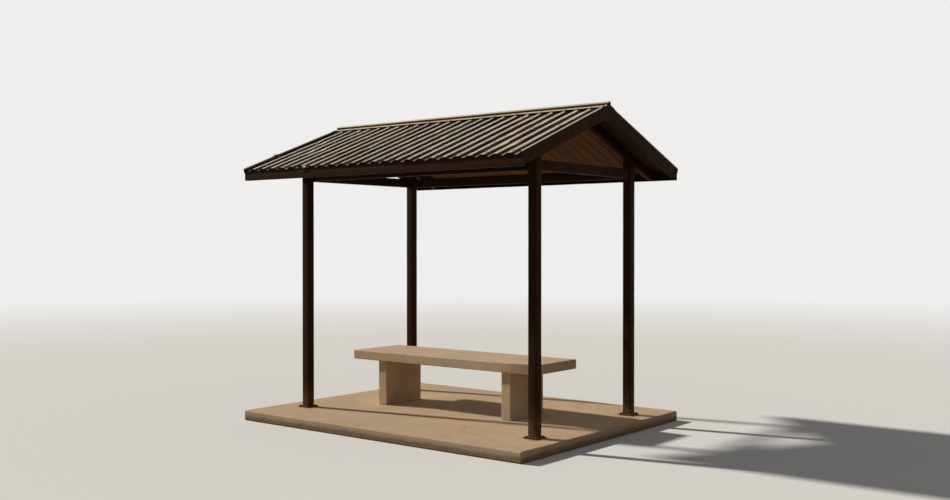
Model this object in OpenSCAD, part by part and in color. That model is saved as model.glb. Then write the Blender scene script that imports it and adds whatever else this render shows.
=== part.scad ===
// Bus shelter: four square steel posts on a concrete pad carry a low gable roof of
// corrugated sheet over timber boards, with a concrete bench between the posts.
// Millimetres, +Z up. Origin at the bottom centre of the pad, front on -Y, ridge along X.

/* [Pad] */
// Length of the pad along the ridge
pad_len = 3400; // [3200:20:3600]
// Depth of the pad from front to back
pad_dep = 2640; // [2400:20:2800]
// Thickness of the pad
pad_h = 100; // [80:5:160]
// Width of the eased top edge of the pad
pad_ease = 12; // [4:1:20]

/* [Posts] */
// Spacing of the post centres along the ridge
post_gap_x = 2810; // [2600:10:3000]
// Spacing of the post centres from front to back
post_gap_y = 1580; // [1400:10:1700]
// Offset of the four posts from the roof's centre, along the ridge
post_off_x = 30; // [-60:5:60]
// Offset of the four posts from the roof's centre, towards the back
post_off_y = 30; // [-60:5:60]
// Side of the square tube
post_w = 85; // [60:1:90]
// Corner radius of the tube
post_r = 8; // [3:1:12]
// Side of the base plate
plate_w = 140; // [130:2:180]
// Thickness of the base plate
plate_t = 12; // [8:1:20]
// Diameter of the anchor holes
hole_d = 14; // [10:1:18]
// Distance of a hole centre from the plate's edges
hole_in = 18; // [14:1:22]

/* [Beams] */
// Clear height under the beams
beam_clear = 2286; // [2200:2:2400]
// Width of the beams and rafters
beam_w = 50; // [40:1:60]
// Depth of the eave beams and tie beams
beam_d = 91; // [70:1:100]
// Depth of the gable rafters, square to the slope
rafter_d = 90; // [70:1:100]
// Depth of the ridge beam
ridge_d = 80; // [60:1:95]

/* [Roof] */
// Roof slope in degrees
slope = 21; // [18:0.5:24]
// Length over the two gable faces
roof_len = 3404; // [3200:2:3600]
// Depth over the edges of the two sheets
roof_dep = 2644; // [2500:2:2800]
// Height of the sheet's crests at the eaves, above the pad
eave_top = 2391; // [2370:1:2420]
// Thickness of the timber deck
deck_t = 19; // [12:1:25]
// Height of the fascia's bottom edge, above the pad
fascia_low = 2282; // [2260:1:2300]
// Plate thickness of the fascias and barge boards
fascia_t = 6; // [4:1:10]
// Width of the folded bottom lip
lip_w = 40; // [25:1:60]

/* [Corrugated sheet] */
// Number of waves along the roof
waves = 25; // [20:1:32]
// Height of a wave from trough to crest
wave_h = 20; // [14:1:36]
// Thickness of the sheet
sheet_t = 2; // [1.5:0.5:3]
// Straight steps along one wave
wave_steps = 12; // [8:2:16]
// How far the sheet runs past the fascia
sheet_over = 20; // [10:1:40]
// Gap between a sheet's end and the gable face
sheet_in = 2; // [1:1:4]

/* [Flashings] */
// Width of the rake trim on top of the crests
trim_top = 24; // [16:1:80]
// Depth of the rake trim on the gable face
trim_face = 45; // [38:1:60]
// Thickness of the trims and the ridge cap
trim_t = 2; // [1.5:0.5:3]
// Width of each wing of the ridge cap
cap_wing = 86; // [70:1:150]
// Outer radius of the rolled ridge
roll_r = 22; // [18:1:26]
// Height of the roll's centre above the wings' meeting line
roll_up = 6; // [4:1:10]
// How far the cap runs past the gable trims
cap_past = 10; // [4:1:20]

/* [Bench] */
// Length of the seat slab
seat_len = 2320; // [2000:10:2500]
// Depth of the seat slab
seat_dep = 690; // [600:10:720]
// Thickness of the seat slab
seat_t = 92; // [70:1:110]
// Height of the seat's top above the pad
seat_h = 545; // [450:5:560]
// Offset of the bench centre along the ridge
seat_x = -80; // [-100:5:100]
// Offset of the bench centre from front to back
seat_y = 100; // [-60:5:120]
// Distance of each leg from the bench centre
leg_x = 790; // [600:5:900]
// Thickness of a leg panel
leg_t = 108; // [80:1:130]
// Depth of a leg panel
leg_dep = 540; // [400:5:540]
// How far the legs stand forward of the seat's middle
leg_fwd = 30; // [-60:5:60]
// Width of the eased edges of the bench
seat_ease = 9; // [4:1:14]

/* [Hidden] */
$fn = 96;
past = 1;

pad_top = pad_h;
half_x = roof_len / 2;
half_y = roof_dep / 2;
post_x = post_gap_x / 2;
post_y = post_gap_y / 2;
beam_z = pad_top + beam_clear;

// the deck's top is a plane on each side; its apex height follows from the eave
crest_h = wave_h + sheet_t;
deck_apex = pad_top + eave_top + half_y * tan(slope) - crest_h / cos(slope);
fascia_y = half_y - sheet_over;
fascia_z = pad_top + fascia_low;
deck_y = fascia_y - fascia_t;
deck_x = half_x - fascia_t;
ridge_y = beam_w / 2;
rafter_v = rafter_d / cos(slope);
lip_v = fascia_t / cos(slope);
sheet_x = half_x - sheet_in;

// distance down the slope from the apex to the edge of a sheet
sheet_end = (half_y - crest_h * sin(slope)) / cos(slope);
sheet_start = 4;

function deck_top(y) = deck_apex - abs(y) * tan(slope);
function deck_low(y) = deck_top(y) - deck_t / cos(slope);
function rafter_low(y) = deck_low(y) - rafter_v;
function barge_low(y) = fascia_z + (fascia_y - abs(y)) * tan(slope);

// a cosine wave with a crest at both ends of the sheet
function wave(x) = wave_h / 2 * (1 + cos(180 * waves * (x / sheet_x + 1)));

// a profile drawn in Y and Z, drawn out along X from x0 to x1
module along_x(x0, x1)
    translate([x0, 0, 0]) rotate([90, 0, 90]) linear_extrude(x1 - x0) children();

// a profile drawn in X and height over the back slope, from s0 to s1 down the slope
module down_slope(s0, s1)
    translate([0, s1 * cos(slope), deck_apex - s1 * sin(slope)])
        rotate([90 - slope, 0, 0]) linear_extrude(s1 - s0) children();

// the back, right quarter as drawn, or its mirror image
module quarter(sx, sy)
    mirror([sx < 0 ? 1 : 0, 0, 0]) mirror([0, sy < 0 ? 1 : 0, 0]) children();

// rectangle about the origin with its corners cut at 45 degrees
module eased(w, h, e)
    polygon([
        [-w / 2 + e, -h / 2], [w / 2 - e, -h / 2], [w / 2, -h / 2 + e], [w / 2, h / 2 - e],
        [w / 2 - e, h / 2], [-w / 2 + e, h / 2], [-w / 2, h / 2 - e], [-w / 2, -h / 2 + e]
    ]);

// square tube outline with rounded corners
module tube_outline() {
    c = post_w / 2 - post_r;
    square([post_w, 2 * c], center = true);
    square([2 * c, post_w], center = true);
    for (x = [-c, c])
        for (y = [-c, c])
            translate([x, y]) circle(post_r);
}

// concrete pad with eased top edges on all four sides
module pad() {
    color([0.72, 0.64, 0.52])
        intersection() {
            rotate([90, 0, 0]) linear_extrude(pad_dep, center = true) pad_side(pad_len);
            rotate([90, 0, 90]) linear_extrude(pad_len, center = true) pad_side(pad_dep);
        }
}

// upright section of the pad
module pad_side(w)
    polygon([
        [-w / 2, 0], [w / 2, 0], [w / 2, pad_h - pad_ease], [w / 2 - pad_ease, pad_h],
        [-w / 2 + pad_ease, pad_h], [-w / 2, pad_h - pad_ease]
    ]);

// base plate with four anchor holes
module base_plate(sx, sy) {
    h = plate_w / 2 - hole_in;
    color([0.3, 0.22, 0.16])
        translate([post_off_x + sx * post_x, post_off_y + sy * post_y, pad_top])
            difference() {
                translate([-plate_w / 2, -plate_w / 2, 0]) cube([plate_w, plate_w, plate_t]);
                for (x = [-h, h])
                    for (y = [-h, h])
                        translate([x, y, -past]) cylinder(h = plate_t + 2 * past, d = hole_d);
            }
}

// post from its base plate up to the rafter, its top cut to the slope
module post(sx, sy) {
    foot = pad_top + plate_t;
    x = post_x + sx * post_off_x;
    y = post_y + sy * post_off_y;
    y0 = y - post_w;
    y1 = y + post_w;
    color([0.2, 0.16, 0.12])
        quarter(sx, sy)
            intersection() {
                translate([x, y, foot]) linear_extrude(deck_apex - foot) tube_outline();
                along_x(x - post_w, x + post_w)
                    polygon([[y0, foot], [y1, foot], [y1, rafter_low(y1)], [y0, rafter_low(y0)]]);
            }
}

// beam between two posts along the front or the back
module eave_beam(sy) {
    len = post_gap_x - post_w;
    color([0.18, 0.14, 0.11])
        translate([post_off_x - len / 2, post_off_y + sy * post_y - beam_w / 2, beam_z])
            cube([len, beam_w, beam_d]);
}

// beam between the front and back post of one end
module tie_beam(sx) {
    len = post_gap_y - post_w;
    color([0.18, 0.14, 0.11])
        translate([post_off_x + sx * post_x - beam_w / 2, post_off_y - len / 2, beam_z])
            cube([beam_w, len, beam_d]);
}

// gable rafter from the ridge beam to the fascia, its tail cut level on the fascia's lip
module rafter(sx, sy) {
    x = post_x + sx * post_off_x;
    seat = fascia_z + fascia_t;
    knee = (rafter_low(0) - seat) / tan(slope);
    color([0.18, 0.14, 0.11])
        quarter(sx, sy)
            along_x(x - beam_w / 2, x + beam_w / 2)
                polygon([
                    [ridge_y, deck_low(ridge_y)], [deck_y, deck_low(deck_y)], [deck_y, seat],
                    [knee, seat], [ridge_y, rafter_low(ridge_y)]
                ]);
}

// ridge beam with its top cut to both slopes
module ridge_beam() {
    low = deck_low(ridge_y) - ridge_d;
    color([0.18, 0.14, 0.11])
        along_x(-deck_x, deck_x)
            polygon([
                [-ridge_y, low], [ridge_y, low], [ridge_y, deck_low(ridge_y)],
                [0, deck_low(0)], [-ridge_y, deck_low(ridge_y)]
            ]);
}

// timber deck of one slope
module deck(sy) {
    color([0.5, 0.3, 0.16])
        quarter(1, sy)
            along_x(-deck_x, deck_x)
                polygon([
                    [0, deck_top(0)], [deck_y, deck_top(deck_y)],
                    [deck_y, deck_low(deck_y)], [0, deck_low(0)]
                ]);
}

// fascia along one eave, a folded plate with a lip under the rafter tails
module fascia(sy) {
    color([0.16, 0.12, 0.09])
        quarter(1, sy)
            along_x(-deck_x, deck_x)
                polygon([
                    [fascia_y, fascia_z], [fascia_y, deck_top(fascia_y)], [deck_y, deck_top(deck_y)],
                    [deck_y, fascia_z + fascia_t], [fascia_y - lip_w, fascia_z + fascia_t],
                    [fascia_y - lip_w, fascia_z]
                ]);
}

// barge board of one rake, mitred at the ridge, as deep as the fascia where they meet
module barge(sx, sy) {
    in_y = fascia_y - lip_w;
    color([0.16, 0.12, 0.09])
        quarter(sx, sy) {
            along_x(deck_x, half_x)
                polygon([
                    [0, deck_top(0)], [fascia_y, deck_top(fascia_y)],
                    [fascia_y, barge_low(fascia_y)], [0, barge_low(0)]
                ]);
            along_x(half_x - lip_w, half_x)
                polygon([
                    [ridge_y, barge_low(ridge_y)], [in_y, barge_low(in_y)],
                    [in_y, barge_low(in_y) + lip_v], [ridge_y, barge_low(ridge_y) + lip_v]
                ]);
        }
}

// corrugated sheet of one slope, its wave drawn by the cosine rule
module roof_sheet(sy) {
    n = waves * wave_steps;
    color([0.66, 0.6, 0.52])
        quarter(1, sy)
            down_slope(sheet_start, sheet_end)
                polygon([
                    for (i = [0 : n]) let (x = sheet_x * (2 * i / n - 1)) [x, wave(x) + sheet_t],
                    for (i = [n : -1 : 0]) let (x = sheet_x * (2 * i / n - 1)) [x, wave(x)]
                ]);
}

// folded trim over one rake, mitred at the ridge
module rake_trim(sx, sy) {
    top = crest_h + trim_t;
    color([0.18, 0.14, 0.11])
        quarter(sx, sy)
            intersection() {
                down_slope(-crest_h, sheet_end)
                    polygon([
                        [half_x - trim_top, crest_h], [half_x, crest_h],
                        [half_x, crest_h - trim_face], [half_x + trim_t, crest_h - trim_face],
                        [half_x + trim_t, top], [half_x - trim_top, top]
                    ]);
                translate([0, 0, fascia_z]) cube([2 * half_x, 2 * half_y, deck_apex]);
            }
}

// ridge cap with two wings and a hollow roll along the top
module ridge_cap() {
    x1 = half_x + trim_t + cap_past;
    low = deck_apex + (crest_h + trim_t) / cos(slope);
    high = low + trim_t / cos(slope);
    y1 = cap_wing * cos(slope);
    drop = y1 * tan(slope);
    color([0.64, 0.56, 0.46])
        along_x(-x1, x1)
            difference() {
                union() {
                    polygon([
                        [-y1, low - drop], [0, low], [y1, low - drop],
                        [y1, high - drop], [0, high], [-y1, high - drop]
                    ]);
                    translate([0, low + roll_up]) circle(roll_r);
                }
                translate([0, low + roll_up]) circle(roll_r - trim_t);
                polygon([
                    [-y1, low - drop], [0, low], [y1, low - drop], [y1, low - 2 * drop],
                    [-y1, low - 2 * drop]
                ]);
            }
}

// concrete seat slab with eased edges
module bench_seat() {
    color([0.74, 0.66, 0.53])
        translate([seat_x, seat_y, pad_top + seat_h - seat_t / 2])
            intersection() {
                rotate([90, 0, 0]) linear_extrude(seat_dep, center = true)
                    eased(seat_len, seat_t, seat_ease);
                rotate([90, 0, 90]) linear_extrude(seat_len, center = true)
                    eased(seat_dep, seat_t, seat_ease);
            }
}

// concrete leg panel with eased upright edges
module bench_leg(sx) {
    color([0.7, 0.62, 0.5])
        translate([seat_x + sx * leg_x, seat_y - leg_fwd, pad_top])
            linear_extrude(seat_h - seat_t) eased(leg_t, leg_dep, seat_ease);
}

pad();
post(-1, -1);  // post_front_left
post(1, -1);  // post_front_right
post(-1, 1);  // post_back_left
post(1, 1);  // post_back_right
base_plate(-1, -1);  // base_plate_front_left
base_plate(1, -1);  // base_plate_front_right
base_plate(-1, 1);  // base_plate_back_left
base_plate(1, 1);  // base_plate_back_right
eave_beam(-1);  // eave_beam_front
eave_beam(1);  // eave_beam_back
tie_beam(-1);  // tie_beam_left
tie_beam(1);  // tie_beam_right
rafter(-1, -1);  // rafter_front_left
rafter(1, -1);  // rafter_front_right
rafter(-1, 1);  // rafter_back_left
rafter(1, 1);  // rafter_back_right
ridge_beam();
deck(-1);  // deck_front
deck(1);  // deck_back
fascia(-1);  // fascia_front
fascia(1);  // fascia_back
barge(-1, -1);  // barge_front_left
barge(1, -1);  // barge_front_right
barge(-1, 1);  // barge_back_left
barge(1, 1);  // barge_back_right
roof_sheet(-1);  // roof_sheet_front
roof_sheet(1);  // roof_sheet_back
rake_trim(-1, -1);  // rake_trim_front_left
rake_trim(1, -1);  // rake_trim_front_right
rake_trim(-1, 1);  // rake_trim_back_left
rake_trim(1, 1);  // rake_trim_back_right
ridge_cap();
bench_seat();
bench_leg(-1);  // bench_leg_left
bench_leg(1);  // bench_leg_right
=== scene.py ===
import math
from functools import reduce

import bmesh
import bpy
import numpy as np
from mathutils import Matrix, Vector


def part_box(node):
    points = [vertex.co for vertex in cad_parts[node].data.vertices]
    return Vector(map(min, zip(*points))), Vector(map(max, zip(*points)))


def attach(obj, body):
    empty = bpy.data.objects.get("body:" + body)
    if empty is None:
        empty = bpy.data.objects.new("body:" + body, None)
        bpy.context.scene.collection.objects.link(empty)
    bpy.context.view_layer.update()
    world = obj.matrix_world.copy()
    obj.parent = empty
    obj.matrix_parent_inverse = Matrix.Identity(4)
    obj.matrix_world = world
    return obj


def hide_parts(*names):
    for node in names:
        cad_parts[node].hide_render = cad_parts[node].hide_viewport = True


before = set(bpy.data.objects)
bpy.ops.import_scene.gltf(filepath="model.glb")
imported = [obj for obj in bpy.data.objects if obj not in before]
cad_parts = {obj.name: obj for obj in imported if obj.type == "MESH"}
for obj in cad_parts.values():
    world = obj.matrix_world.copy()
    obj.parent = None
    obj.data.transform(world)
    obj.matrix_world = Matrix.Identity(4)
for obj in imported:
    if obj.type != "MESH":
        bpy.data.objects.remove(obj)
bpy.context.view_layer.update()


def cad_box(name):
    """Low and high corners of a CAD node's box."""
    return tuple(np.array(corner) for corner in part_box(name))


# Sizes in metres, most of them read from the frame

X, Y, Z = np.eye(3)
SLOPES = ((-1, "front"), (1, "back"))
CORNERS = [(sx, sy, f"{front}_{left}") for sx, left in ((-1, "left"), (1, "right")) for sy, front in SLOPES]
RAILS = (("eave_beam_front", 0), ("eave_beam_back", 0), ("tie_beam_left", 1), ("tie_beam_right", 1))

SLOPE = math.radians(21.0)
TAN = math.tan(SLOPE)
PAD_X, PAD_Y, PAD_TOP = cad_box("pad")[1]
DECK_X, DECK_Y, APEX = cad_box("deck_back")[1]
DECK_THICK = 0.019
RAFTER_ENDS = (cad_box("rafter_front_left")[0][0], cad_box("rafter_front_right")[1][0])

SHEET_X = cad_box("roof_sheet_back")[1][0]
WAVES = 25
PITCH = 2 * SHEET_X / WAVES
WAVE_HIGH = 0.020
SHEET_THICK = 0.002
CREST = WAVE_HIGH + SHEET_THICK
SHEET_START = 0.004
EAVE_Y = 1.322
SHEET_END = (EAVE_Y - CREST * math.sin(SLOPE)) / math.cos(SLOPE)

GABLE_X = 1.702
FASCIA_Y = 1.302
FASCIA_LOW = cad_box("fascia_back")[0][2]
PLATE = 0.006
LIP = 0.040
RAFTER_DEEP = 0.090
RIDGE_Y = 0.025
ROLL_R = 0.021
ROLL_Z = cad_box("ridge_cap")[1][2] - ROLL_R
POST_RADIUS = 0.008
SOLES = [cad_box(f"base_plate_{corner}") for *_, corner in CORNERS]


def deck_top(y):
    """Height of the deck's top: the apex less the slope times the distance from the ridge."""
    return APEX - abs(y) * TAN


def slope_axes(side):
    """Unit vectors down a roof slope and square to it. Side is 1 at the back, -1 at the front."""
    down = side * math.cos(SLOPE) * Y - math.sin(SLOPE) * Z
    stand = side * math.sin(SLOPE) * Y + math.cos(SLOPE) * Z
    return down, stand


def along_slope(x, s, h, side):
    """Point over a roof slope: x along the ridge, s down the slope, h above the deck's top."""
    x, s, h = (np.asarray(part)[..., None] for part in (x, s, h))
    down, stand = slope_axes(side)
    return x * X + s * down + h * stand + APEX * Z


# Meshes

def placed_object(name, data):
    """A new object in the scene."""
    made = bpy.data.objects.new(name, data)
    bpy.context.scene.collection.objects.link(made)
    return made


def put_mesh(name, shape, finish, *covers, sharp=35.0, merge=False, layers=None):
    """Makes one finished piece from a shape, which is points and faces, shaded smooth up to the
    sharp angle. A finish is a material and its slot; the slot is not used. The covers are the CAD
    nodes that the piece replaces. The layers are named numbers that the material reads, one for
    each point, or one for each point of a sheet's top, where they are repeated for its under side."""
    material, node_slot = finish
    mesh = bpy.data.meshes.new(name)
    mesh.from_pydata(np.asarray(shape[0], float).tolist(), [], shape[1])
    for label, values in (layers or {}).items():
        numbers = np.resize(values, len(shape[0]))
        mesh.attributes.new(label, "FLOAT", "POINT").data.foreach_set("value", numbers)
    mesh.validate(verbose=False)
    if merge:
        work = bmesh.new()
        work.from_mesh(mesh)
        bmesh.ops.remove_doubles(work, verts=work.verts, dist=2e-6)
        bmesh.ops.recalc_face_normals(work, faces=work.faces)
        work.to_mesh(mesh)
        work.free()
    mesh.polygons.foreach_set("use_smooth", np.ones(len(mesh.polygons), bool))
    mesh.set_sharp_from_angle(angle=math.radians(sharp))
    mesh.materials.append(material)
    mesh.update()
    piece = placed_object(name, mesh)
    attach(piece, "root")
    if covers:
        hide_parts(*covers)


def unit(vectors):
    """Vectors brought to length one."""
    return vectors / np.maximum(np.linalg.norm(vectors, axis=-1, keepdims=True), 1e-9)


def circle(count):
    """Angles of evenly spaced points round a circle."""
    return np.linspace(0, 2 * math.pi, count, endpoint=False)


def ring_faces(rings, count, closed=True):
    """Quads between neighbouring rings of count points each, as rows of point numbers."""
    i, j = np.meshgrid(np.arange(rings - 1), np.arange(count if closed else count - 1), indexing="ij")
    k = (j + 1) % count
    quads = np.stack([i * count + j, i * count + k, (i + 1) * count + k, (i + 1) * count + j], -1)
    return quads.reshape(-1, 4).tolist()


def facing_out(points, faces):
    """Turns every face over if the closed shape's signed volume is negative."""
    fans = [(f[0], f[i], f[i + 1]) for f in faces for i in range(1, len(f) - 1)]
    a, b, c = points[np.array(fans).T]
    volume = (a * np.cross(b, c)).sum()
    return points, faces if volume > 0 else [f[::-1] for f in faces]


def tube(rings):
    """Closed solid through rings of points, one ring after another, with a face at each end."""
    rows, count = rings.shape[:2]
    last = (rows - 1) * count
    ends = [list(range(count))[::-1], list(range(last, last + count))]
    return facing_out(rings.reshape(-1, 3), ring_faces(rows, count) + ends)


def joined(parts):
    """Puts several shapes into one, moving the point numbers along."""
    faces, first = [], 0
    for points, part_faces in parts:
        faces += [[i + first for i in face] for face in part_faces]
        first += len(points)
    return np.concatenate([points for points, _ in parts]), faces


def rounded(corners, radius, steps=3):
    """Closed outline whose corners are arcs: each arc starts and ends at radius over the tangent
    of half the corner's angle, and its points turn evenly about the arc's centre."""
    p = np.asarray(corners, float)
    back, ahead = unit(np.roll(p, 1, 0) - p), unit(np.roll(p, -1, 0) - p)
    half = np.arccos(np.clip((back * ahead).sum(1), -1, 1)) / 2
    radius = np.asarray(radius, float)
    centre = p + unit(back + ahead) * (radius / np.sin(half))[:, None]
    start = p + back * (radius / np.tan(half))[:, None] - centre
    turn = np.sign(back[:, 1] * ahead[:, 0] - back[:, 0] * ahead[:, 1]) * (math.pi - 2 * half)
    angle = turn[:, None] * np.linspace(0, 1, steps + 1)
    c, s = np.cos(angle), np.sin(angle)
    x = centre[:, :1] + start[:, :1] * c - start[:, 1:] * s
    y = centre[:, 1:] + start[:, :1] * s + start[:, 1:] * c
    return np.stack([x, y], -1).reshape(-1, 2)


def box_outline(w, h, radius, steps=4):
    """Rounded rectangle about the origin, from half its width and half its height."""
    return rounded([(-w, -h), (w, -h), (w, h), (-w, h)], radius, steps)


def bar(outline, side, up, along, origin, start, end, rings=2, wobble=0.0, seed=0):
    """Outline carried along a straight line between two cutting planes, each one a normal and its
    distance from the origin: every outline point runs from where its line meets the first plane
    to where it meets the second. Wobble moves the rings' points sideways by slow sums of sines,
    like the dents of old steel."""
    base = origin + outline[:, :1] * side + outline[:, 1:] * up
    first, last = ((reach - base @ normal) / (along @ normal) for normal, reach in (start, end))
    t = np.linspace(0, 1, rings)[:, None]
    s = first + (last - first) * t
    points = base + s[..., None] * along
    if wobble:
        draw = np.random.default_rng(seed)
        fade = np.sin(np.pi * t) ** 0.5
        for direction in (side, up):
            f, phase = draw.uniform(3, 17, 4), draw.uniform(0, 6.28, 4)
            wave = np.sin(s[..., None] * f + phase).mean(-1)
            points = points + (wobble * wave * fade)[..., None] * direction
    return tube(points)


def turned(profile, segments):
    """Revolves a profile of radius and height pairs about Z and closes both ends."""
    r, z = np.asarray(profile, float).T[..., None]
    angle = circle(segments)
    return tube(np.stack([r * np.cos(angle), r * np.sin(angle), z + 0 * angle], -1))


def shell(top, under):
    """Closes two matching grids of points into one thin solid."""
    nu, nv = top.shape[:2]
    n = nu * nv
    faces = ring_faces(nu, nv, closed=False)
    faces += [[i + n for i in quad[::-1]] for quad in faces]
    k = np.arange(n).reshape(nu, nv)
    rim = np.concatenate([k[:-1, 0], k[-1, :-1], k[:0:-1, -1], k[0, :0:-1]])
    ahead = np.roll(rim, -1)
    faces += np.stack([ahead, rim, rim + n, ahead + n], -1).tolist()
    return facing_out(np.concatenate([top.reshape(-1, 3), under.reshape(-1, 3)]), faces)


def soft_noise(p, scale, seed, octaves=4):
    """Smooth noise over points: a sum of sines along random directions, less strong and twice as
    fine at each octave."""
    draw = np.random.default_rng(seed)
    total = np.zeros(len(p))
    for octave in range(octaves):
        d = unit(draw.normal(size=(5, 3)))
        waves = np.sin(p @ (d.T * scale * 2**octave * 6.28) + draw.uniform(0, 6.28, 5))
        total += waves.mean(1) / 1.6**octave
    return total


def block_lines(low, high, ease, step):
    """Grid lines from low to high: close together by both edges, evenly spaced between."""
    near = np.array([0, 0.15, 0.35, 0.6, 0.85, 1.1, 1.5, 2.1]) * ease
    count = max(2, int((high - low - 2 * near[-1]) / step))
    middle = np.linspace(low + near[-1], high - near[-1], count + 1)[1:-1]
    return np.concatenate([low + near, middle, high - near[::-1]])


def stone_block(low, high, ease, step, chip, rough, seed):
    """Block with rounded edges: a point of the plain box is pulled to the inner box, smaller by
    the rounding all round, and pushed out again by the rounding. Chips eat the edges where the
    noise is high, and a slow noise dents every face."""
    lines = [block_lines(low[a], high[a], ease, step) for a in range(3)]
    sides = []
    for axis in range(3):
        a, b = (axis + 1) % 3, (axis + 2) % 3
        u, v = np.meshgrid(lines[a], lines[b], indexing="ij")
        for end, turn in ((low, 1), (high, -1)):
            p = np.zeros(u.shape + (3,))
            p[..., a], p[..., b], p[..., axis] = u, v, end[axis]
            quads = ring_faces(*u.shape, closed=False)
            sides.append((p.reshape(-1, 3), [quad[::turn] for quad in quads]))
    p, faces = joined(sides)
    inner = np.clip(p, low + ease, high - ease)
    normal = unit(p - inner)
    p = inner + normal * ease
    at_edge = np.clip((1 - np.abs(normal).max(1)) / 0.25, 0, 1)
    bite = np.clip(2.4 * (soft_noise(p, 3.7, seed) - 0.62), 0, 1)
    nibble = np.clip(1.6 * (soft_noise(p, 17, seed + 1, 3) - 0.45), 0, 1)
    dent = np.minimum(soft_noise(p, 1.3, seed + 2) - 1.2, 0) * rough
    depth = dent - chip * at_edge * np.maximum(bite, 0.4 * nibble)
    depth[p[:, 2] < low[2] + 1e-4] = 0.0
    return p + normal * depth[:, None], faces


# Shader helpers

FLOAT = "NodeSocketFloat"


def is_socket(value):
    """Whether a value is a node's socket and not a plain number or colour."""
    return isinstance(value, bpy.types.NodeSocket)


def put(socket, value):
    """Links a socket to a value's socket, or sets the number or colour on it."""
    if is_socket(value):
        socket.id_data.links.new(value, socket)
    elif socket.type == "RGBA":
        socket.default_value = (*value, 1.0)
    else:
        socket.default_value = value


def node(near, kind, wires=None, **settings):
    """Adds a node to a tree, or to the tree of a socket that is near, sets its settings, then
    wires or sets its inputs by name or number."""
    made = near.id_data.nodes.new(kind)
    for key, value in settings.items():
        setattr(made, key, value)
    for key, value in (wires or {}).items():
        put(made.inputs[key], value)
    return made


def calc(what, *values, clamp=False):
    """One step of arithmetic. At least one of the values is a socket."""
    near = next(filter(is_socket, values))
    return node(near, "ShaderNodeMath", dict(enumerate(values)), operation=what, use_clamp=clamp).outputs[0]


def times(*values):
    """Product of several masks or numbers."""
    return reduce(lambda product, value: calc("MULTIPLY", product, value), values)


def highest(*values):
    """The largest of several masks."""
    return reduce(lambda top, value: calc("MAXIMUM", top, value, clamp=True), values)


def layered(*pairs):
    """Sum of heights, each times its own strength."""
    first = times(*pairs[0])
    return reduce(lambda total, pair: calc("MULTIPLY_ADD", *pair, total), pairs[1:], first)


def span(value, low, high, to_low=0.0, to_high=1.0, smooth=False):
    """Carries the range low to high over to another range and holds it there."""
    wires = {0: value, 1: low, 2: high, 3: to_low, 4: to_high}
    kind = "SMOOTHSTEP" if smooth else "LINEAR"
    return node(value, "ShaderNodeMapRange", wires, interpolation_type=kind).outputs[0]


def blend(amount, a, b):
    """Mixes two colours."""
    return node(amount, "ShaderNodeMix", {0: amount, 6: a, 7: b}, data_type="RGBA").outputs[2]


def shade(colour, factor):
    """A colour made darker or paler by a factor."""
    return tuple(min(1.0, factor * part) for part in colour)


def coated(colour, *coats):
    """Lays coats over a colour, one on another. A coat is a mask, how strong it gets, its colour
    and, where it doesn't follow the whole mask, the values between which it comes in."""
    for mask, strength, coat, *ends in coats:
        low, high = ends or (0.0, 1.0)
        colour = blend(span(mask, low, high, 0.0, strength), colour, coat)
    return colour


def pattern(place, kind, scale, wires, **settings):
    """A pattern's outputs. A scale that has a part for each axis goes to the place instead."""
    if isinstance(scale, tuple):
        place = node(place, "ShaderNodeMapping", {"Vector": place, "Scale": scale}).outputs[0]
        scale = 1.0
    return node(place, kind, {"Vector": place, "Scale": scale, **wires}, **settings).outputs


def noise(place, scale, detail=4.0, rough=0.55, warp=0.0):
    """Cloudy noise, from 0 to 1."""
    wires = {"Detail": detail, "Roughness": rough, "Distortion": warp}
    return pattern(place, "ShaderNodeTexNoise", scale, wires)[0]


def cells(place, scale, feature="F1"):
    """Voronoi cells."""
    return pattern(place, "ShaderNodeTexVoronoi", scale, {}, feature=feature)


def moved(place, x=0.0, y=0.0, z=0.0):
    """The place with something added to each of its parts."""
    shift = node(place, "ShaderNodeCombineXYZ", {0: x, 1: y, 2: z}).outputs[0]
    return node(place, "ShaderNodeVectorMath", {0: place, 1: shift}, operation="ADD").outputs[0]


def object_place(tree):
    """Object coordinates, which are metres in the part's own frame."""
    return node(tree, "ShaderNodeTexCoord").outputs["Object"]


def split(place):
    """The three parts of a place or direction."""
    return node(place, "ShaderNodeSeparateXYZ", {0: place}).outputs


def layer(near, label):
    """A piece's own layer of numbers. It is 0 on a piece that has none."""
    return node(near, "ShaderNodeAttribute", attribute_name=label).outputs["Fac"]


def surface_normal(near):
    """The surface's own direction."""
    return node(near, "ShaderNodeNewGeometry").outputs["Normal"]


def facing_up(near):
    """Upward part of the surface's direction."""
    return split(surface_normal(near))[2]


def new_group(name, inputs, outputs):
    """An empty shader group with named inputs and outputs: its tree, the sockets that carry the
    values in and out, and the place."""
    tree = bpy.data.node_groups.new(name, "ShaderNodeTree")
    for label, value in inputs.items():
        tree.interface.new_socket(name=label, in_out="INPUT", socket_type=FLOAT).default_value = value
    for label in outputs:
        tree.interface.new_socket(name=label, in_out="OUTPUT", socket_type=FLOAT)
    given, gives = (tree.nodes.new(kind) for kind in ("NodeGroupInput", "NodeGroupOutput"))
    return tree, given.outputs, gives.inputs, object_place(tree)


def use_group(near, group, **values):
    """Places a group in a material with its own values, and returns its outputs."""
    wires = {label.replace("_", " "): value for label, value in values.items()}
    return node(near, "ShaderNodeGroup", wires, node_tree=group).outputs


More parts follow.
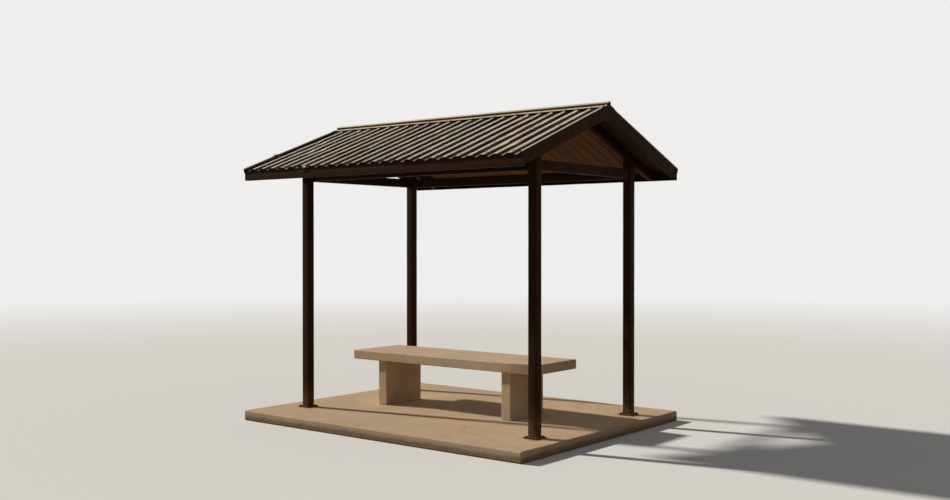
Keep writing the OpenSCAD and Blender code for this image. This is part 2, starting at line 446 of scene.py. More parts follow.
def worn_edges_group():
    """Mask of rubbed edges: where the rounded normal leaves the true one, broken up by noise."""
    values = {"Width": 0.004, "Patch size": 30.0, "Amount": 0.5}
    tree, given, gives, place = new_group("Worn edges", values, ["Mask"])
    round_normal = node(tree, "ShaderNodeBevel", {"Radius": given["Width"]}, samples=4).outputs[0]
    wires = {0: round_normal, 1: surface_normal(tree)}
    together = node(tree, "ShaderNodeVectorMath", wires, operation="DOT_PRODUCT").outputs["Value"]
    patches = noise(place, given["Patch size"], 5.0, 0.65)
    cut = calc("SUBTRACT", 1.0, given["Amount"])
    patches = span(patches, cut, calc("ADD", cut, 0.18))
    put(gives["Mask"], times(span(together, 0.995, 0.80), patches))
    return tree


def settled_dust_group():
    """Mask of dust: thick near the ground and on faces that look up, broken up by noise."""
    values = {"Low": 0.1, "High": 0.5, "On tops": 0.5, "Patch size": 12.0}
    tree, given, gives, place = new_group("Settled dust", values, ["Mask"])
    patches = noise(place, given["Patch size"], 6.0, 0.6)
    near_ground = span(split(place)[2], given["High"], given["Low"], smooth=True)
    low_part = times(near_ground, span(patches, 0.25, 0.7))
    tops = times(span(facing_up(tree), 0.55, 0.98), given["On tops"])
    tops = times(tops, span(patches, 0.3, 0.62))
    put(gives["Mask"], highest(low_part, tops))
    return tree


def run_off_group():
    """Mask of upright streaks left by water: noise drawn out along Z and gated by a wide noise."""
    values = {"Fineness": 40.0, "Length": 1.2, "Amount": 0.5}
    tree, given, gives, place = new_group("Run-off streaks", values, ["Mask"])
    labels = ("Fineness", "Fineness", "Length")
    tall = {i: times(part, given[labels[i]]) for i, part in enumerate(split(place))}
    streaks = noise(node(tree, "ShaderNodeCombineXYZ", tall).outputs[0], 1.0, 3.0, 0.6)
    gate = noise(place, 2.3, 3.0, 0.5)
    cut = calc("MULTIPLY_ADD", given["Amount"], -0.5, 0.85)
    mask = span(streaks, cut, calc("ADD", cut, 0.15))
    put(gives["Mask"], times(mask, span(gate, 0.35, 0.6)))
    return tree


def mottle_group():
    """Three sizes of cloudy variation: broad, middling and fine."""
    sizes = {"Broad": 1.2, "Middle": 9.0, "Fine": 160.0}
    tree, given, gives, place = new_group("Mottle", sizes, list(sizes))
    for label, detail, rough in (("Broad", 5.0, 0.55), ("Middle", 7.0, 0.62), ("Fine", 4.0, 0.7)):
        put(gives[label], noise(place, given[label], detail, rough))
    return tree


WORN_EDGES = worn_edges_group()
SETTLED_DUST = settled_dust_group()
RUN_OFF = run_off_group()
MOTTLE = mottle_group()


def new_material(name, specular):
    """A material with one Principled shader: the material, the shader's inputs and the place."""
    material = bpy.data.materials.new(name)
    material.use_nodes = True
    shader = material.node_tree.nodes["Principled BSDF"].inputs
    shader["Specular IOR Level"].default_value = specular
    return material, shader, object_place(material.node_tree)


def feed(shader, colour, rough, heights, strength, distance):
    """Feeds the colour, the roughness and the summed heights, as a bump, to the shader."""
    wires = {"Height": layered(*heights), "Strength": strength, "Distance": distance}
    put(shader["Base Color"], colour)
    put(shader["Roughness"], rough)
    put(shader["Normal"], node(colour, "ShaderNodeBump", wires).outputs[0])


# Finishes

DUST = (0.42, 0.28, 0.15)
SAND = (0.50, 0.285, 0.135)
RUST = (0.17, 0.058, 0.018)
PALE_RUST = (0.31, 0.135, 0.05)
# Near-black used as painted shade on the sheets' shaded flanks, under the ridge cap and over the torn flap
PAINTED_SHADE_BLACK = (0.0105, 0.007, 0.004)


def hairline_cracks(place, wander):
    """Mask of thin cracks along the borders of wide, warped cells, in some places only."""
    warped = moved(place, times(wander, 0.22), times(wander, 0.17))
    border = cells(warped, 0.9, "DISTANCE_TO_EDGE")[0]
    here = span(noise(place, 1.7, 2.0), 0.52, 0.6)
    return times(span(border, 0.0028, 0.0008), here)


def pin_holes(place, clumps):
    """Mask of small round holes left by air bubbles, in clumps."""
    spots = cells(place, 95.0)["Distance"]
    return times(span(spots, 0.24, 0.12), span(clumps, 0.52, 0.6))


def blown_sand(place, clumps, up):
    """Mask of reddish sand that lies along the pad's border."""
    parts = split(place)
    to_x, to_y = (
        calc("SUBTRACT", edge, calc("ABSOLUTE", part))
        for edge, part in ((PAD_X, parts[0]), (PAD_Y, parts[1]))
    )
    border = span(calc("MINIMUM", to_x, to_y), 0.34, 0.02, smooth=True)
    return times(border, span(clumps, 0.38, 0.66), span(up, 0.4, 0.9))


def concrete(name, slot, light, broom, pits):
    """Sandy concrete: faint broad stains, greyer bare patches, sand grains, pin holes, hairline
    cracks, worn pale edges, soil low on the pad's sides, rust washed off the base plates and fine
    broom marks."""
    material, shader, place = new_material(name, 0.25)
    broad, middle, fine = use_group(place, MOTTLE, Broad=1.1, Middle=7.0, Fine=230.0)
    pale = noise(moved(place, 7.1, 3.3, 0.4), 3.1, 6.0, 0.6)
    bare = noise(moved(place, 2.7, 9.1, 5.3), 1.9, 7.0, 0.66)
    grit = noise(place, 46.0, 5.0, 0.72)
    grain = split(cells(place, 420.0)["Color"])[0]
    crack = hairline_cracks(place, middle)
    holes = pin_holes(place, middle)
    marks = noise(place, (170.0, 5.0, 5.0), 3.0, 0.6)
    up = facing_up(place)
    upright = span(up, 0.5, 0.2)
    streaks = use_group(place, RUN_OFF, Fineness=17.0, Length=1.3, Amount=0.42)[0]
    height = layered((split(place)[2], 1.0), (middle, 0.05), (broad, 0.03))
    soil = times(span(height, 0.104, 0.076), upright, span(grit, 0.3, 0.6, 0.55, 0.9))
    washed = times(layer(place, "rust_stain"), span(middle, 0.3, 0.62))
    worn = use_group(place, WORN_EDGES, Width=0.012, Patch_size=22.0, Amount=0.62)[0]
    dark = shade(light, 0.84)
    grey = shade((0.98, 0.9, 0.8), sum(light) / 3)
    colour = coated(
        dark,
        (broad, 1.0, light, 0.34, 0.66),
        (middle, 0.26, shade(dark, 0.75), 0.42, 0.75),
        (pale, 0.32, shade(light, 1.2), 0.52, 0.78),
        (bare, 0.42, grey, 0.44, 0.62),
        (grit, 0.34, shade(dark, 0.62), 0.46, 0.70),
        (blown_sand(place, middle, up), 0.34, SAND),
        (grain, 0.34, shade(dark, 0.3), 0.3, 0.0),
        (grain, 0.42, shade(light, 1.45), 0.86, 1.0),
        (fine, 0.3, shade(dark, 0.55), 0.55, 0.8),
        (crack, 0.55, shade(dark, 0.2)),
        (times(streaks, upright), 0.24, shade(dark, 0.35)),
        (soil, 1.0, shade(DUST, 0.42)),
        (washed, 1.0, shade(PALE_RUST, 0.9)),
        (worn, 0.5, shade(light, 1.3)),
        (holes, pits, shade(dark, 0.22)),
    )
    heights = [(grain, 0.14), (fine, 0.35), (grit, 0.5), (middle, 0.9)]
    heights += [(holes, -0.9 * pits), (crack, -0.6), (marks, broom)]
    feed(shader, colour, span(middle, 0.3, 0.7, 0.80, 0.96), heights, 0.75, 0.0022)
    return material, slot


def steel_paint(name, slot, light, rust, dust_high):
    """Dark brown paint on steel: chalky patches, run-off, rubbed edges down to rust, scratches,
    and dust low down."""
    material, shader, place = new_material(name, 0.06)
    shader["Specular Tint"].default_value = (1.0, 0.78, 0.56, 1.0)
    broad, middle, fine = use_group(place, MOTTLE, Broad=1.7, Middle=14.0, Fine=420.0)
    streaks = use_group(place, RUN_OFF, Fineness=38.0, Length=1.1, Amount=0.42)[0]
    scratch = noise(place, (9.0, 9.0, 260.0), 2.0, 0.5, 0.6)
    scratch = times(span(scratch, 0.70, 0.74), span(broad, 0.5, 0.56), 0.35)
    worn = use_group(place, WORN_EDGES, Width=0.0035, Patch_size=36.0, Amount=0.42)[0]
    spots = times(span(noise(place, 55.0, 6.0, 0.7), 0.64, 0.73), rust)
    bare = highest(times(worn, 0.6), spots, scratch)
    rusty = blend(noise(place, 130.0, 4.0), shade(RUST, 0.7), shade(PALE_RUST, 0.8))
    dust = use_group(place, SETTLED_DUST, Low=PAD_TOP, High=dust_high, On_tops=0.7, Patch_size=16.0)[0]
    colour = coated(
        shade(light, 0.6),
        (broad, 1.0, light, 0.3, 0.7),
        (middle, 0.4, shade(light, 1.7), 0.5, 0.78),
        (streaks, 0.12, shade(DUST, 0.5)),
        (bare, 1.0, rusty),
        (dust, 0.42, shade(DUST, 0.8)),
    )
    rough = span(middle, 0.3, 0.7, 0.56, 0.76)
    rough = highest(rough, times(highest(bare, dust), 0.85))
    feed(shader, colour, rough, [(fine, 0.3), (bare, -0.5), (middle, 0.6)], 0.4, 0.0009)
    return material, slot


def timber(name, slot):
    """Stained boards: grain and long streaks down the slope, knots and a tone of its own for each
    board. Past the rafters the boards turn the frame's dark brown, a painted shade for the overhangs."""
    material, shader, place = new_material(name, 0.08)
    tone = layer(place, "board_tone")
    board = moved(place, 0.0, times(tone, 37.0), times(tone, 11.0))
    bent = moved(board, times(noise(board, (5.0, 1.1, 1.1), 3.0, 0.5), 0.06))
    grain = noise(bent, (62.0, 1.6, 1.6), 6.0, 0.62, 0.4)
    fibre = noise(bent, (420.0, 7.0, 7.0), 3.0, 0.6)
    bands = noise(bent, (17.0, 0.5, 0.5), 2.0, 0.4, 1.5)
    darker = calc("FRACT", times(tone, 7.31))
    knot = span(cells(board, (9.0, 2.1, 2.1))["Distance"], 0.11, 0.05)
    x = split(place)[0]
    # Painted shade: the boards past the rafters take a dark brown that stands in for the overhangs' shade
    shaded_overhang = [span(x, end, end + 0.002 * side) for end, side in zip(RAFTER_ENDS, (-1, 1))]
    brown = blend(span(grain, 0.35, 0.7), (0.044, 0.021, 0.007), (0.025, 0.012, 0.004))
    colour = coated(
        (0.245, 0.106, 0.022),
        (grain, 1.0, (0.122, 0.048, 0.010), 0.3, 0.7),
        (bands, 0.45, (0.082, 0.031, 0.008), 0.42, 0.62),
        (fibre, 0.4, (0.072, 0.029, 0.008), 0.45, 0.75),
        (tone, 0.4, (0.29, 0.140, 0.036)),
        (darker, 0.45, (0.065, 0.026, 0.007), 0.35, 1.0),
        (knot, 0.7, (0.035, 0.015, 0.007)),
        (noise(place, 2.2, 5.0, 0.6), 0.45, (0.050, 0.025, 0.012), 0.46, 0.7),
        (highest(*shaded_overhang), 0.95, brown),
    )
    rough = span(grain, 0.3, 0.7, 0.6, 0.8)
    feed(shader, colour, rough, [(grain, 0.7), (fibre, 0.35), (knot, -0.4)], 0.5, 0.0016)
    return material, slot


def painted_flank_shade(place, middle, runs):
    """Painted shade on each wave's flank turned from the key, and painted shadow below the ridge cap's
    wings.
    """
    ragged = layered((middle, 0.36), (runs, 0.26), (layer(place, "painted_shade_amount"), 1.0))
    flank = span(ragged, 1.03, 1.18, smooth=True)
    return times(flank, span(runs, 0.25, 0.55, 0.84, 1.0))


def painted_cap_shade(place, middle, runs):
    """Painted shade under the roll, where the wings meet it, and painted shadow along the wings' outer
    edges.
    """
    parts = split(place)
    y = calc("ABSOLUTE", parts[1])
    wander = calc("MULTIPLY_ADD", middle, 0.012, y)
    # Painted shade under the roll and painted shadow at the wings' outer edges
    under = span(parts[2], ROLL_Z + 0.009, ROLL_Z + 0.002)
    neck = times(under, span(wander, 0.044, 0.036))
    rim = times(span(wander, 0.075, 0.082), span(y, 0.12, 0.10))
    return times(highest(neck, rim), 0.9)


def galvanised(name, slot, light, rust, painted_shade_of, shine=0.12):
    """Weathered zinc-coated sheet: faint spangle, long stains, dust in the valleys, near-black painted
    shade from a shade mask, rust that runs down the slope from cut edges, and scuffed crests."""
    material, shader, place = new_material(name, 0.04)
    broad, middle, fine = use_group(place, MOTTLE, Broad=1.4, Middle=11.0, Fine=300.0)
    spangle = split(cells(place, 85.0)["Color"])[1]
    runs = noise(place, (46.0, 1.5, 1.5), 5.0, 0.6)
    patch = noise(moved(place, 3 / 16, 1 / 2.2), (16.0, 2.2, 2.2), 7.0, 0.68)
    spot = noise(place, 70.0, 6.0, 0.7)
    rusted = highest(span(patch, 0.66, 0.76), span(spot, 0.67, 0.75))
    bitten = layer(place, "edge_rust")
    eaten = times(bitten, span(noise(place, 45.0, 6.0, 0.7), 0.35, 0.55))
    rusted = highest(times(rusted, rust), eaten)
    dust = times(layer(place, "valley"), span(middle, 0.25, 0.6, 0.25, 0.7))
    # Painted shade: where this finish's shade mask paints the sheet near-black
    painted_shade = painted_shade_of(place, middle, runs)
    worn = use_group(place, WORN_EDGES, Width=0.003, Patch_size=40.0, Amount=0.45)[0]
    colour = coated(
        shade(light, 0.8),
        (broad, 1.0, light, 0.32, 0.68),
        (layer(place, "sheet_tone"), 0.3, shade(light, 0.55)),
        (spangle, 0.15, shade(light, 0.5)),
        (runs, 0.34, shade(light, 0.5), 0.5, 0.74),
        (middle, 0.3, shade(light, 1.15), 0.5, 0.8),
        (rusted, 1.0, blend(noise(place, 90.0, 4.0), RUST, PALE_RUST)),
        (dust, 1.0, shade(DUST, 0.8)),
        (painted_shade, 1.0, PAINTED_SHADE_BLACK),
        (times(worn, span(bitten, 1.0, 0.0)), 0.35, shade(light, 1.1)),
    )
    dull = highest(rusted, painted_shade, dust)
    put(shader["Metallic"], span(dull, 0.0, 0.6, shine, 0.0))
    rough = highest(span(middle, 0.3, 0.7, 0.42, 0.6), dull)
    feed(shader, colour, rough, [(fine, 0.2), (broad, 1.2), (dull, 0.25)], 0.3, 0.002)
    return material, slot


PAD_CONCRETE = concrete("Broomed pad concrete", "pad_concrete", (0.665, 0.475, 0.29), 0.5, 0.3)
BENCH_CONCRETE = concrete("Cast bench concrete", "bench_concrete", (0.72, 0.53, 0.345), 0.0, 0.8)
FRAME_PAINT = steel_paint("Faded brown frame paint", "frame_steel", (0.034, 0.0138, 0.0046), 0.4, 0.42)
PLATE_PAINT = steel_paint("Rusty base plate paint", "plate_steel", (0.052, 0.024, 0.009), 0.9, 0.15)
DECK_BOARDS = timber("Stained deck boards", "deck_timber")
# The sheet gets painted shade on its flanks; the cap and the bead use the cap's painted shade
SHEET_METAL = galvanised("Weathered corrugated sheet", "roof_metal", (0.86, 0.76, 0.62), 0.6, painted_flank_shade)
CAP_METAL = galvanised("Weathered ridge cap", "trim_metal", (0.80, 0.66, 0.48), 0.4, painted_cap_shade)
BEAD_METAL = galvanised("Bright rolled bead", "trim_metal", (0.84, 0.76, 0.64), 0.3, painted_cap_shade, 0.75)


# Pad and bench

def washed_rust(points):
    """Rust washed over the pad: full at a base plate's edge, gone 60 mm from it."""
    away = [np.linalg.norm(points - np.clip(points, low, high), axis=1) for low, high in SOLES]
    return np.clip(1 - np.min(away, 0) / 0.06, 0, 1) ** 2


def make_concrete():
    """Pad, seat and the two legs as worn blocks."""
    for name, cad, finish, ease, step, chip, rough, seed in (
        ("pad_slab", "pad", PAD_CONCRETE, 0.014, 0.022, 0.016, 0.0012, 3),
        ("seat_slab", "bench_seat", BENCH_CONCRETE, 0.009, 0.015, 0.012, 0.0008, 11),
        ("leg_panel_left", "bench_leg_left", BENCH_CONCRETE, 0.007, 0.013, 0.009, 0.0007, 17),
        ("leg_panel_right", "bench_leg_right", BENCH_CONCRETE, 0.007, 0.013, 0.009, 0.0007, 23),
    ):
        block = stone_block(*cad_box(cad), ease, step, chip, rough, seed)
        layers = {"rust_stain": washed_rust(block[0])} if cad == "pad" else None
        put_mesh(name, block, finish, cad, sharp=50.0, merge=True, layers=layers)


# Steel frame

def make_posts():
    """Square tubes with rounded corners, cut at the top to the rafters' slope."""
    for sx, sy, corner in CORNERS:
        low, high = cad_box(f"post_{corner}")
        x, y, _ = (low + high) / 2
        half = (high[0] - low[0]) / 2
        outline = box_outline(half, half, POST_RADIUS, 6)
        stand = slope_axes(sy)[1]
        cuts = (Z, low[2]), (stand, stand @ (0, y - sy * half, high[2]))
        post = bar(outline, X, Y, Z, (x, y, 0), *cuts, rings=48, wobble=0.0006, seed=7 + sx * 2 + sy)
        put_mesh(f"post_tube_{corner}", post, FRAME_PAINT, f"post_{corner}")


def make_rails():
    """Hollow beams between the posts, with rounded edges."""
    for cad, along in RAILS:
        low, high = cad_box(cad)
        side, forward = (Y, X) if along == 0 else (X, Y)
        wide, tall = ((high - low) / 2)[[1 - along, 2]]
        outline = box_outline(wide, tall, 0.005)
        cuts = (forward, low[along]), (forward, high[along])
        middle = (low + high) / 2
        rail = bar(outline, side, Z, forward, middle, *cuts, rings=30, wobble=0.0005, seed=along + 5)
        put_mesh(cad.replace("beam", "rail"), rail, FRAME_PAINT, cad)


def make_rafters():
    """Gable rafters: the outline is drawn in the upright plane, with its tail cut level where it
    sits on the fascia's lip, and carried along X. Its end rings shrink to ease the edges."""
    under = DECK_THICK / math.cos(SLOPE)
    deep = RAFTER_DEEP / math.cos(SLOPE)
    seat = FASCIA_LOW + PLATE
    knee = (APEX - under - deep - seat) / TAN
    corners = [
        (RIDGE_Y, deck_top(RIDGE_Y) - under - deep),
        (knee, seat),
        (DECK_Y, seat),
        (DECK_Y, deck_top(DECK_Y) - under),
        (RIDGE_Y, deck_top(RIDGE_Y) - under),
    ]
    outline = rounded(corners, 0.0008, 1)
    away = unit(outline - outline.mean(0))
    ease = np.array([0.0, 0.0015, 0.004])
    pull = np.array([0.004, 0.0012, 0.0, 0.0, 0.0012, 0.004])
    y, z = np.moveaxis(outline - away * pull[:, None, None], -1, 0)
    for _, sy, corner in CORNERS:
        low, high = cad_box(f"rafter_{corner}")
        x = np.concatenate([low[0] + ease, high[0] - ease[::-1]])[:, None]
        rings = np.stack([x + 0 * y, sy * y, z], -1)
        put_mesh(f"rafter_bar_{corner}", tube(rings), FRAME_PAINT, f"rafter_{corner}")


def make_ridge_beam():
    """Ridge beam with its top cut to both slopes."""
    low, high = cad_box("ridge_beam")
    shoulder = high[2] - RIDGE_Y * TAN
    top = [(RIDGE_Y, shoulder), (0, high[2]), (-RIDGE_Y, shoulder)]
    corners = [(-RIDGE_Y, low[2]), (RIDGE_Y, low[2]), *top]
    outline = rounded(corners, (0.004, 0.004, 0.001, 0.001, 0.001))
    cuts = (X, low[0]), (X, high[0])
    beam = bar(outline, Y, Z, X, 0 * X, *cuts, rings=30, wobble=0.0004, seed=9)
    put_mesh("ridge_purlin", beam, FRAME_PAINT, "ridge_beam")


def make_fascias():
    """Folded fascias: an upright face with its top cut to the slope and a lip turned in below."""
    corners = [
        (FASCIA_Y, FASCIA_LOW),
        (FASCIA_Y, deck_top(FASCIA_Y)),
        (DECK_Y, deck_top(DECK_Y)),
        (DECK_Y, FASCIA_LOW + PLATE),
        (FASCIA_Y - LIP, FASCIA_LOW + PLATE),
        (FASCIA_Y - LIP, FASCIA_LOW),
    ]
    outline = rounded(corners, (0.004, 0.001, 0.001, 0.002, 0.001, 0.001), 4)
    cuts = (X, -DECK_X), (X, DECK_X)
    for sy, front in SLOPES:
        plate = bar(outline, sy * Y, Z, X, 0 * X, *cuts, rings=60, wobble=0.0012, seed=21 + sy)
        put_mesh(f"fascia_plate_{front}", plate, FRAME_PAINT, f"fascia_{front}")


def make_barge_boards():
    """Barge boards: an upright face down each rake, and a lip turned in along its lower edge."""
    deep = deck_top(FASCIA_Y) - FASCIA_LOW
    lip_top = PLATE / math.cos(SLOPE) - deep
    face = rounded([(-PLATE, -deep), (0, -deep), (0, 0), (-PLATE, 0)], 0.001, 2)
    strip = rounded([(-LIP, -deep), (-0.001, -deep), (-0.001, lip_top), (-LIP, lip_top)], 0.001, 2)
    for sx, sy, corner in CORNERS:
        way = (sx * X, Z, sy * Y - TAN * Z, (sx * GABLE_X, 0, APEX))
        cuts = [(Y, sy * y) for y in (0, FASCIA_Y, RIDGE_Y, FASCIA_Y - LIP)]
        web = bar(face, *way, *cuts[:2], rings=40, wobble=0.0010, seed=31 + sx + 2 * sy)
        lip = bar(strip, *way, *cuts[2:], rings=20)
        put_mesh(f"barge_plate_{corner}", joined([web, lip]), FRAME_PAINT, f"barge_{corner}")


# Timber deck

BOARDS = 30


def make_deck():
    """Each slope is laid with boards that run down it: a board is an outline with eased lower
    edges carried from the ridge to the fascia, and has a tone of its own."""
    pitch = 2 * DECK_X / BOARDS
    for sy, front in SLOPES:
        down, stand = slope_axes(sy)
        draw = np.random.default_rng(50 + sy)
        parts, tones = [], []
        for k in range(BOARDS):
            gap, rise, vee = draw.uniform((0.0010, 0.0, 0.0036), (0.0026, 0.0012, 0.0052))
            left, right = -DECK_X + k * pitch + gap / 2, -DECK_X + (k + 1) * pitch - gap / 2
            bottom, top = -DECK_THICK + rise, -0.0006
            shoulder = bottom + vee * 1.1
            lower = [(left, shoulder), (left + vee, bottom), (right - vee, bottom), (right, shoulder)]
            outline = np.array([*lower, (right, top), (left, top)])
            cuts = (Y, sy * 0.0006), (Y, sy * DECK_Y)
            parts.append(bar(outline, X, stand, down, APEX * Z, *cuts, rings=10))
            tones.append(np.full(len(parts[-1][0]), draw.uniform()))
        layers = {"board_tone": np.concatenate(tones)}
        name, cad = f"deck_boards_{front}", f"deck_{front}"
        put_mesh(name, joined(parts), DECK_BOARDS, cad, sharp=25.0, layers=layers)


# Corrugated roof

STEPS_X = 18
STEPS_S = 52
BENT_X = -0.860
BENT_WIDE = 0.070
# Place across the wave, from a crest, of the middle of the painted shade on the flank turned from the key
SHADED_FLANK_PHASE = 0.295
LAP_EVERY = 5 * PITCH
LAP_WIDE = 0.050
SCREW_ROWS = ((0, 0.19, 0), (1, 0.62, 0), (0, 1.02, 0), (1, SHEET_END - 0.075, 0), (1, 0.060, 0.0042))


def dents(x, s, side):
    """Hollows trodden into crests: bell shapes at drawn places, wide along the crest."""
    draw = np.random.default_rng(80 + side)
    low = np.zeros(x.shape)
    for crest, at, deep, long in draw.uniform((1, 0.1, 0.0015, 0.03), (WAVES, 1.35, 0.0060, 0.09), (26, 4)):
        middle = -SHEET_X + PITCH * int(crest)
        low += deep * np.exp(-(((x - middle) / 0.034) ** 2) - ((s - at) / long) ** 2)
    return low


def screw_places(side):
    """Where the screws stand on one slope: on every other crest in four rows, but not on the bent
    length, and through the ridge cap's wing. Gives their places along the ridge, their places
    down the slope and their heights."""
    crests = -SHEET_X + PITCH * np.arange(1, WAVES)
    draw = np.random.default_rng(42 + side)
    rows = []
    for odd, s, h in SCREW_ROWS:
        x = crests[odd::2]
        if side < 0 and s > 1.1:
            x = x[np.abs(x - BENT_X) > 0.15]
        s = s + draw.uniform(-0.005, 0.005, len(x))
        rows.append(np.stack([x, s, np.full(len(x), CREST - 0.0006 + h)]))
    return np.concatenate(rows, 1)


def screw_stains(x, s, side):
    """Rust below each screw: a narrow bell across, fading over a hand's breadth down the slope."""
    stain = np.zeros(x.shape)
    for at_x, at_s, _ in screw_places(side).T:
        below = np.clip((s - at_s + 0.008) / 0.012, 0, 1) * np.exp(-np.clip(s - at_s, 0, None) / 0.07)
        stain = np.maximum(stain, below * np.exp(-(((x - at_x) / 0.009) ** 2)))
    return stain


def make_roof_sheets():
    """Corrugated sheets as thin shells. Across, the wave is its height times half of one plus the
    cosine, with a crest at each end. On it lie dents, a slow sag, a step at each side lap, ends
    that don't quite line up, and a short bent and rusted length at the front eave."""
    t = np.linspace(0, 1, STEPS_S)
    down = SHEET_START + (SHEET_END - SHEET_START) * (1 - (1 - t) ** 1.25)
    x, s = np.meshgrid(np.linspace(-SHEET_X, SHEET_X, WAVES * STEPS_X + 1), down, indexing="ij")
    phase = 2 * math.pi * (x + SHEET_X) / PITCH
    crest = 0.5 + 0.5 * np.cos(phase)
    # Painted shade marks: the flank turned from the key, and a painted shadow strip just below the cap's
    # wings
    shaded_flank = 0.5 + 0.5 * np.cos(phase - 2 * math.pi * SHADED_FLANK_PHASE)
    cap_shadow = np.clip((0.104 - s) / 0.010, 0, 1)
    torn = 0.5 + 0.5 * np.sin(x * 190.0) * np.sin(x * 83.0 + 1)
    eave = np.clip((s - SHEET_END + 0.10) / 0.10, 0, 1)
    cut_edge = np.clip((s - SHEET_END + 0.012) / 0.012, 0, 1)
    for sy, front in SLOPES:
        place = (x + SHEET_X + 0.15 * (sy + 1)) / LAP_EVERY
        lap = (place % 1.0) < LAP_WIDE / LAP_EVERY
        drawn = np.random.default_rng(90 + sy).uniform(0, 1, 8)[place.astype(int)]
        sag = 0.0008 * np.clip(np.sin(x * 2.3 + sy) * np.sin(s * 3.1 + 1), -1, 0)
        bent = np.exp(-(((x - BENT_X) / BENT_WIDE) ** 4)) * (sy < 0) * eave**2
        high = (WAVE_HIGH * crest - dents(x, s, sy)).clip(0) * (1 - 0.7 * bent)
        lift = high + np.where(lap, 0.0013, 0.0) + sag - 0.004 * bent
        along = s - 0.0045 * drawn * eave - bent * eave * (0.010 + 0.016 * torn)
        top = along_slope(x, along, np.minimum(lift + 0.0011, CREST), sy)
        under = along_slope(x, along, np.minimum(lift + 0.0003, CREST - 0.0008), sy)
        rust = np.clip(0.5 * cut_edge + bent + 0.7 * screw_stains(x, s, sy), 0, 1)
        valley = (1 - crest) ** 2
        # The painted-shade layer carries the shaded flank and the painted shadow below the cap
        layers = {"painted_shade_amount": shaded_flank + cap_shadow, "valley": valley, "edge_rust": rust, "sheet_tone": drawn}
        name, cad = f"corrugated_sheet_{front}", f"roof_sheet_{front}"
        put_mesh(name, shell(top, under), SHEET_METAL, cad, sharp=50.0, layers=layers)


TORN_WIDE = 0.058
TORN_X = [-1, -0.82, -0.6, -0.34, -0.1, 0.2, 0.55, 1]
TORN_HANG = [0.30, 0.74, 0.62, 1.0, 0.86, 0.55, 0.6, 0.12]
FOLD_RUN = [0, 0.2, 0.32, 0.5, 1.0]
FOLD_OUT = [1.290, 1.309, 1.3155, 1.3170, 1.3090]
FOLD_DROP = [0.026, 0.021, 0.012, -0.002, -0.036]


def make_torn_flap():
    """Strip torn loose at the bent eave: it comes off the sheet, folds over the fascia's top and
    hangs down in front of it, crumpled by noise, with a ragged lower edge drawn through points."""
    u, t = np.meshgrid(np.linspace(-1, 1, 42), np.linspace(0, 1, 20), indexing="ij")
    reach = 0.3 + 0.7 * np.interp(u, TORN_X, TORN_HANG)
    run = t * reach
    x = BENT_X + TORN_WIDE * u + 0.010 * run**2
    y = np.interp(run, FOLD_RUN, FOLD_OUT)
    z = deck_top(EAVE_Y) + np.interp(run, FOLD_RUN, FOLD_DROP)
    place = np.stack([x, y, z], -1).reshape(-1, 3)
    crumple = soft_noise(place, 5, 33, 3).reshape(x.shape) * np.sqrt(t)
    y = np.clip(y + 0.0040 * crumple, 1.3035, EAVE_Y - 0.001)
    z = z + 0.0035 * np.roll(crumple, 5, 0)
    top = np.stack([x, -y, z], -1)
    at_edge = np.clip((run - 0.7 * reach) * 9, 0, 1)
    # Painted shade makes the flap near-black, less so at its ragged edge; one bare patch stays bright as a
    # painted highlight.
    bright_patch = np.exp(-(((u - 0.45) / 0.28) ** 2) - ((run - 0.24) / 0.14) ** 2)
    layers = {"edge_rust": 1.0 - 0.8 * bright_patch, "painted_shade_amount": 0.94 - 0.7 * bright_patch - 0.12 * at_edge}
    flap = shell(top, top + (0, 0.0008, -0.0003))
    put_mesh("torn_flap", flap, SHEET_METAL, sharp=60.0, layers=layers)


# Trims

TRIM_WIDE = 0.024
TRIM_DROP = 0.045
TRIM_THICK = 0.0012
BEAD_R = 0.0052
CAP_JOINTS = (-0.55, 0.63)
CAP_LAP = 0.03


def folded(path, thick, radius):
    """Outline of a folded strip: the path on one side and the path moved over by the thickness on
    the other, with the bends rounded."""
    p = np.asarray(path, float)
    d = unit(np.diff(p, axis=0))
    n = np.column_stack([-d[:, 1], d[:, 0]])
    n_at = unit(np.vstack([n[:1], n[:-1] + n[1:], n[-1:]]))
    ends = np.concatenate([[1.0], 1 / np.maximum(0.3, (n_at[1:-1] * n[:-1]).sum(1)), [1.0]])
    other = p + n_at * (thick * ends)[:, None]
    bends = np.full(len(p), radius)
    bends[[0, -1]] = 0.0003
    return rounded(np.vstack([p, other[::-1]]), np.tile(bends, 2))


def make_rake_trims():
    """Rake trims: a painted angle over the last crest, with a bright rolled bead along its fold,
    in two lengths that lap. On the front left rake the lap has sprung open."""
    high = CREST + 0.0003
    outer = GABLE_X + 0.0004
    inner = outer - TRIM_WIDE
    path = [(inner, high - 0.003), (inner + 0.001, high), (outer, high), (outer, high - TRIM_DROP)]
    angle = folded(path, TRIM_THICK, 0.0016)
    centre = (outer - BEAD_R + 0.0020, high + TRIM_THICK + BEAD_R - 0.0010)
    turn = circle(12)[:, None]
    roll = centre + BEAD_R * np.hstack([np.cos(turn), np.sin(turn)])
    for sx, sy, corner in CORNERS:
        down, stand = slope_axes(sy)
        broken = corner == "front_left"
        joint = 0.92 if broken else 0.72
        lengths = ((joint - 0.05, SHEET_END - 0.001, 0.35), (0.0, joint / math.cos(SLOPE), 1.0))
        for name, outline, short, finish in (
            ("rake_angle", angle, 0.0, FRAME_PAINT),
            ("rake_bead", roll, 0.005, BEAD_METAL),
        ):
            parts = []
            for start, end, spring in lengths:
                shape = outline + (0, 0.0002 * (spring == 1.0))
                cuts = (Y, sy * start), (down, down @ along_slope(0, end - short, high, sy))
                way = (sx * X, stand, down, APEX * Z, *cuts)
                points, faces = bar(shape, *way, rings=40, wobble=0.0005, seed=51 + sx + 3 * sy)
                near = np.clip(1 - np.abs(points[:, 1] * sy - joint) / 0.07, 0, 1) ** 2
                parts.append((points + (0.016 * broken * spring * near)[:, None] * stand, faces))
            put_mesh(f"{name}_{corner}", joined(parts), finish, f"rake_trim_{corner}")


